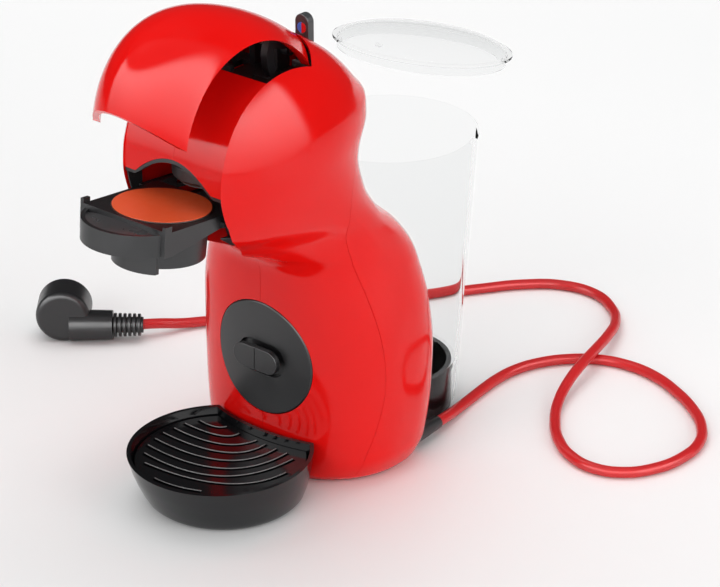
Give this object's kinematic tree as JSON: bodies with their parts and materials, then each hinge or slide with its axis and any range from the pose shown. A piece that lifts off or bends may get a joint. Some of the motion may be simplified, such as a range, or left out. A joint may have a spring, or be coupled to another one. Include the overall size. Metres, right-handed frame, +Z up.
{
  "type": "pod coffee machine",
  "caption": "Compact pod coffee machine with an arched red shell, raised hinged hood, slide-in pod holder, drip tray and a clear round water tank behind.",
  "frame": {"origin": "on the surface that the machine stands on, in the plane midway between the shell's left and right sides, 54 mm behind the flat front of the column", "axes": "+Z up, +X to the right of someone facing the machine's front, -Y out of the front where the pod holder and drip tray are, +Y to the water tank"},
  "size_m": [0.4214, 0.4334, 0.2963],
  "materials": {
    "red_shell": "gloss",
    "button_red": "gloss",
    "black_satin": "satin",
    "foot_rubber": "matte",
    "screw_steel": "satin",
    "inner_black": "matte",
    "inner_grey": "matte",
    "seal_rubber": "matte",
    "holder_black": "satin",
    "pod_cup": "satin",
    "pod_lid": "satin",
    "lever_black": "satin",
    "mark_blue": "gloss",
    "mark_red": "gloss",
    "tray_black": "gloss",
    "tank_clear": "clear",
    "lid_clear": "clear",
    "block_aluminium": "satin",
    "board_green": "satin",
    "hose_clear": "satin",
    "cord_red": "satin",
    "pin_brass": "satin"
  },
  "bodies": {
    "housing": {"left_shell": "red_shell", "right_shell": "red_shell", "back_cover": "red_shell", "button_frame": "red_shell", "base_plate": "black_satin", "rubber_feet": "foot_rubber", "base_screws": "screw_steel", "front_disc": "black_satin", "tray_hook": "black_satin", "chassis": "inner_black", "head_frame": "inner_black", "mouth_frame": "inner_black", "holder_guide": "inner_black", "hood_pin": "screw_steel", "lever_pin": "screw_steel", "selector_valve": "inner_grey", "power_switch": "inner_black", "tank_seat": "tray_black", "seat_seal": "seal_rubber", "pump": "inner_grey", "pump_mounts": "seal_rubber", "thermoblock": "block_aluminium", "thermoblock_clamp": "screw_steel", "control_board": "board_green", "inlet_hose": "hose_clear", "pump_hose": "hose_clear", "valve_hose": "hose_clear", "brew_hose": "hose_clear", "cord_relief": "black_satin", "cord_clamp": "inner_black", "cord": "cord_red", "plug_body": "black_satin", "plug_relief": "black_satin", "plug_pins": "pin_brass", "plug_earth": "pin_brass"},
    "hood": {"hood": "red_shell", "hood_frame": "inner_black"},
    "brew_head": {"brew_head": "inner_black", "brew_needle": "screw_steel", "brew_seal": "seal_rubber"},
    "holder": {"capsule_holder": "holder_black", "holder_cup": "holder_black"},
    "pod": {"pod_cup": "pod_cup", "pod_lid": "pod_lid"},
    "lever": {"selector_lever": "lever_black", "lever_mark_cold": "mark_blue", "lever_mark_hot": "mark_red"},
    "button": {"power_button": "button_red"},
    "tray": {"drip_tray": "tray_black"},
    "grid": {"drip_grid": "tray_black"},
    "tank": {"water_tank": "tank_clear", "tank_valve": "tray_black"},
    "tank_lid": {"tank_lid": "lid_clear"}
  },
  "joints": [
    {"name": "hood_hinge", "type": "hinge", "parent": "housing", "child": "hood", "pos_m": [0, -0.0434, 0.2586], "axis": [1, 0, 0], "range_deg": [0, 26]},
    {"name": "head_slide", "type": "slide", "parent": "housing", "child": "brew_head", "axis": [0, 0, -1], "range_m": [0, 0.0056]},
    {"name": "holder_slide", "type": "slide", "parent": "housing", "child": "holder", "axis": [0, 0.9949, -0.1011], "range_m": [0, 0.04]},
    {"name": "pod_lift", "type": "slide", "parent": "holder", "child": "pod", "axis": [0, -0.1011, -0.9949], "range_m": [-0.005, 0]},
    {"name": "lever_swing", "type": "hinge", "parent": "housing", "child": "lever", "pos_m": [0, -0.0144, 0.236], "axis": [0, 1, 0], "range_deg": [-12, 12]},
    {"name": "button_press", "type": "slide", "parent": "housing", "child": "button", "axis": [0, -0.7071, -0.7071], "range_m": [0, 0.0015], "stiffness_N_per_m": 400},
    {"name": "tray_slide", "type": "slide", "parent": "housing", "child": "tray", "axis": [0, -1, 0], "range_m": [0, 0.06]},
    {"name": "grid_lift", "type": "slide", "parent": "tray", "child": "grid", "axis": [0, 0, 1], "range_m": [0, 0.03]},
    {"name": "tank_lift", "type": "slide", "parent": "housing", "child": "tank", "axis": [0, 0, 1], "range_m": [0, 0.015]},
    {"name": "lid_tip", "type": "hinge", "parent": "tank", "child": "tank_lid", "pos_m": [0, 0.2963, 0.0302], "axis": [1, 0, 0], "range_deg": [0, 10.5]}
  ],
  "couplings": [
    {"joint": "head_slide", "follows": "hood_hinge", "m_per_rad": 0.0121}
  ]
}
